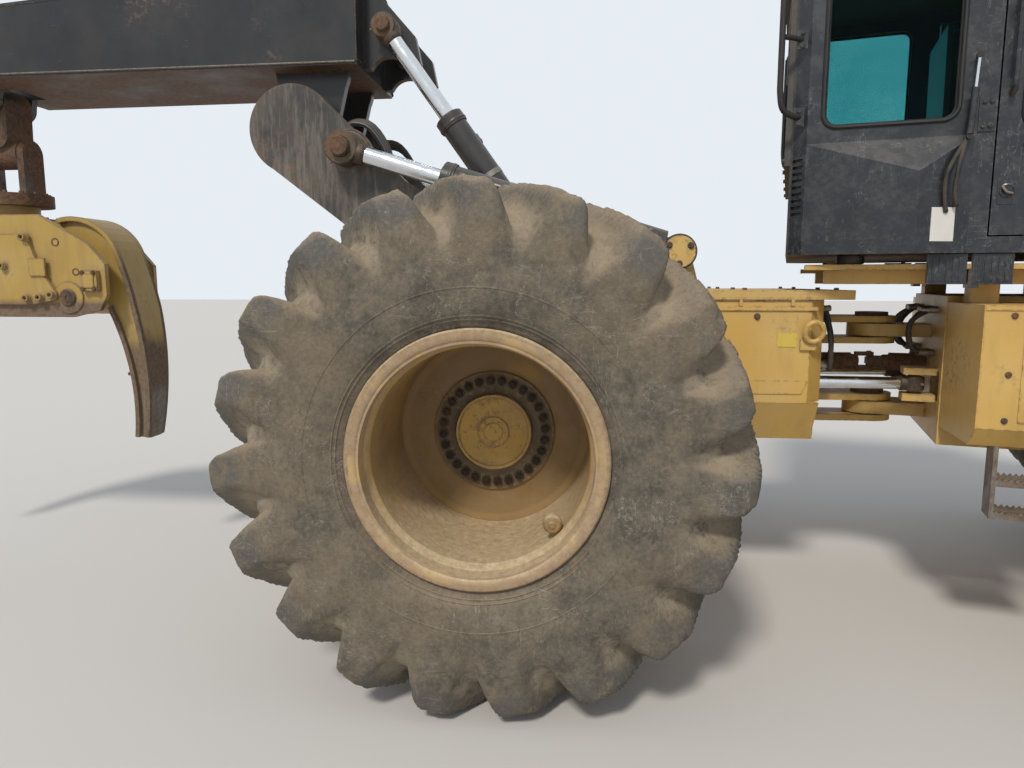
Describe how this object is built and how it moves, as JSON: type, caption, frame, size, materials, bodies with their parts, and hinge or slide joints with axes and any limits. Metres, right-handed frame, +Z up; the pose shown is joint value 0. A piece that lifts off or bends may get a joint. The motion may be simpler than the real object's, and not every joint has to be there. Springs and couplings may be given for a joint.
{
  "type": "grapple skidder",
  "caption": "Articulated forestry tractor with a rear arch, boom and hanging grapple, a front blade, a guarded cab and large lugged tyres.",
  "frame": {"origin": "middle of the parked machine's footprint, on the ground", "axes": "+X along the rear frame from the grapple to the cab, +Y to the machine's left, +Z up"},
  "size_m": [8.8093, 3.6962, 3.08],
  "materials": {
    "yellow": "worn faded yellow paint, dust and rust",
    "black": "worn black paint with rust at the edges",
    "iron": "bare rusty steel",
    "chrome_rod": "hard chrome, dusty",
    "rubber": "scuffed rubber with dried mud",
    "glass": "tinted",
    "upholstery": "woven cover"
  },
  "bodies": {
    "rear_frame": {"rear_frame": "yellow", "rear_axle": "yellow", "hitch_pins": "iron", "butt_plate": "yellow"},
    "front_frame": {"front_frame": "yellow", "front_axle": "yellow", "engine": "iron", "hood": "yellow", "grille": "black", "stacks": "black", "fuel_tank": "yellow", "tool_box": "yellow", "steps": "iron", "cab_shell": "black", "cab_roof": "black", "cab_glass": "glass", "cab_screens": "black", "seat": "upholstery", "brush_guard": "black"},
    "wheel_rear_right": {"tyre_rear_right": "rubber", "wheel_rear_right": "yellow"},
    "wheel_rear_left": {"tyre_rear_left": "rubber", "wheel_rear_left": "yellow"},
    "wheel_front_right": {"tyre_front_right": "rubber", "wheel_front_right": "yellow"},
    "wheel_front_left": {"tyre_front_left": "rubber", "wheel_front_left": "yellow"},
    "arch": {"arch": "black"},
    "arch_barrels": {"arch_barrels": "black"},
    "arch_rods": {"arch_rods": "chrome_rod"},
    "boom": {"boom": "black"},
    "boom_barrels": {"boom_barrels": "black"},
    "boom_rods": {"boom_rods": "chrome_rod"},
    "crosshead": {"crosshead": "iron"},
    "yoke": {"yoke": "iron"},
    "grapple_head": {"grapple_head": "yellow"},
    "tong_front": {"tong_front": "yellow"},
    "tong_rear": {"tong_rear": "yellow"},
    "tong_barrel": {"tong_barrel": "black"},
    "tong_rod": {"tong_rod": "chrome_rod"},
    "steer_barrel_right": {"steer_barrel_right": "black"},
    "steer_rod_right": {"steer_rod_right": "chrome_rod"},
    "steer_barrel_left": {"steer_barrel_left": "black"},
    "steer_rod_left": {"steer_rod_left": "chrome_rod"},
    "blade": {"blade": "yellow"},
    "blade_barrels": {"blade_barrels": "black"},
    "blade_rods": {"blade_rods": "chrome_rod"},
    "door_right": {"door_right": "black"},
    "door_left": {"door_left": "black"}
  },
  "joints": [
    {"name": "steering", "type": "hinge", "parent": "rear_frame", "child": "front_frame", "pos_m": [0.83719, 0.30062, 1.05], "axis": [0, 0, 1], "range_deg": [-30, 60]},
    {"name": "roll_rear_right", "type": "hinge", "parent": "rear_frame", "child": "wheel_rear_right", "pos_m": [-0.92781, -0.85938, 0.9275], "axis": [0, 1, 0], "continuous": true},
    {"name": "roll_rear_left", "type": "hinge", "parent": "rear_frame", "child": "wheel_rear_left", "pos_m": [-0.92781, 1.46062, 0.9275], "axis": [0, 1, 0], "continuous": true},
    {"name": "roll_front_right", "type": "hinge", "parent": "front_frame", "child": "wheel_front_right", "pos_m": [2.24182, -1.27667, 0.9275], "axis": [0.2588, 0.9659, 0], "continuous": true},
    {"name": "roll_front_left", "type": "hinge", "parent": "front_frame", "child": "wheel_front_left", "pos_m": [2.84228, 0.96427, 0.9275], "axis": [0.2588, 0.9659, 0], "continuous": true},
    {"name": "arch_swing", "type": "hinge", "parent": "rear_frame", "child": "arch", "pos_m": [-0.52781, 0.30062, 1.3], "axis": [0, 1, 0], "range_deg": [-15, 38]},
    {"name": "arch_barrels_turn", "type": "hinge", "parent": "rear_frame", "child": "arch_barrels", "pos_m": [-0.17781, 0.30062, 1.638], "axis": [0, 1, 0], "range_deg": [-14.58, 35.41]},
    {"name": "arch_rods_slide", "type": "slide", "parent": "arch_barrels", "child": "arch_rods", "axis": [-0.9549, 0, 0.2969], "range_m": [-0.3095, 0.1252]},
    {"name": "boom_lift", "type": "hinge", "parent": "arch", "child": "boom", "pos_m": [-1.91781, 0.30062, 2.2], "axis": [0, 1, 0], "range_deg": [-25, 25]},
    {"name": "boom_barrels_turn", "type": "hinge", "parent": "arch", "child": "boom_barrels", "pos_m": [-0.52781, 0.30062, 1.3], "axis": [0, 1, 0], "range_deg": [-2.99, 2.99]},
    {"name": "boom_rods_slide", "type": "slide", "parent": "boom_barrels", "child": "boom_rods", "axis": [-0.5821, 0, 0.8131], "range_m": [-0.2655, 0.2655]},
    {"name": "crosshead_swing", "type": "hinge", "parent": "boom", "child": "crosshead", "pos_m": [-3.64781, 0.30062, 2.44], "axis": [0, -1, 0], "range_deg": [-55, 50]},
    {"name": "yoke_tilt", "type": "hinge", "parent": "crosshead", "child": "yoke", "pos_m": [-3.64781, 0.30062, 2.18], "axis": [1, 0, 0], "range_deg": [-30, 30]},
    {"name": "grapple_turn", "type": "hinge", "parent": "yoke", "child": "grapple_head", "pos_m": [-3.64781, 0.30062, 1.88], "axis": [0, 0, 1], "continuous": true},
    {"name": "tongs_open", "type": "hinge", "parent": "grapple_head", "child": "tong_front", "pos_m": [-3.20781, 0.30062, 1.43], "axis": [0, -1, 0], "range_deg": [-42, 40]},
    {"name": "tong_rear_open", "type": "hinge", "parent": "grapple_head", "child": "tong_rear", "pos_m": [-4.08781, 0.30062, 1.43], "axis": [0, 1, 0], "range_deg": [-43, 41]},
    {"name": "tong_barrel_turn", "type": "hinge", "parent": "tong_rear", "child": "tong_barrel", "pos_m": [-4.04781, 0.30062, 1.57], "axis": [0, -1, 0], "range_deg": [-43, 41]},
    {"name": "tong_rod_slide", "type": "slide", "parent": "tong_barrel", "child": "tong_rod", "axis": [1, 0, 0], "range_m": [-0.1915, 0.2009]},
    {"name": "blade_lift", "type": "hinge", "parent": "front_frame", "child": "blade", "pos_m": [3.01052, -0.28173, 0.8], "axis": [-0.2588, -0.9659, 0], "range_deg": [-18, 18]},
    {"name": "blade_barrels_turn", "type": "hinge", "parent": "front_frame", "child": "blade_barrels", "pos_m": [3.30996, -0.36196, 1.34], "axis": [-0.2588, -0.9659, 0], "range_deg": [-7.33, 7.33]},
    {"name": "blade_rods_slide", "type": "slide", "parent": "blade_barrels", "child": "blade_rods", "axis": [0.2749, -0.0737, -0.9586], "range_m": [-0.1462, 0.1462]},
    {"name": "steer_barrel_right_turn", "type": "hinge", "parent": "rear_frame", "child": "steer_barrel_right", "pos_m": [-0.16781, 0.05062, 1.05], "axis": [0, 0, 1], "range_deg": [-5.44, 9.88]},
    {"name": "steer_rod_right_slide", "type": "slide", "parent": "steer_barrel_right", "child": "steer_rod_right", "axis": [0.9983, -0.0578, 0], "range_m": [-0.1397, 0.2743]},
    {"name": "steer_barrel_left_turn", "type": "hinge", "parent": "rear_frame", "child": "steer_barrel_left", "pos_m": [-0.16781, 0.55062, 1.05], "axis": [0, 0, 1], "range_deg": [-4.73, 8.46]},
    {"name": "steer_rod_left_slide", "type": "slide", "parent": "steer_barrel_left", "child": "steer_rod_left", "axis": [0.9998, -0.018, 0], "range_m": [-0.294, 0.1495]},
    {"name": "door_right_open", "type": "hinge", "parent": "front_frame", "child": "door_right", "pos_m": [1.67919, -0.70663, 2], "axis": [0, 0, 1], "range_deg": [0, 75]},
    {"name": "door_left_open", "type": "hinge", "parent": "front_frame", "child": "door_left", "pos_m": [2.07, 0.75192, 2], "axis": [0, 0, -1], "range_deg": [0, 75]}
  ],
  "couplings": [
    {"joint": "arch_barrels_turn", "follows": "arch_swing", "ratio": 0.90552},
    {"joint": "arch_rods_slide", "follows": "arch_swing", "m_per_rad": -0.45916},
    {"joint": "boom_barrels_turn", "follows": "boom_lift", "ratio": 0.079731},
    {"joint": "boom_rods_slide", "follows": "boom_lift", "m_per_rad": -0.59696},
    {"joint": "tong_rear_open", "follows": "tongs_open", "ratio": 1},
    {"joint": "tong_barrel_turn", "follows": "tongs_open", "ratio": 1},
    {"joint": "tong_rod_slide", "follows": "tongs_open", "m_per_rad": -0.26719},
    {"joint": "blade_barrels_turn", "follows": "blade_lift", "ratio": 0.35179},
    {"joint": "blade_rods_slide", "follows": "blade_lift", "m_per_rad": -0.4494},
    {"joint": "steer_barrel_right_turn", "follows": "steering", "ratio": 0.14806},
    {"joint": "steer_rod_right_slide", "follows": "steering", "m_per_rad": 0.2572},
    {"joint": "steer_barrel_left_turn", "follows": "steering", "ratio": 0.12435},
    {"joint": "steer_rod_left_slide", "follows": "steering", "m_per_rad": -0.27594}
  ]
}
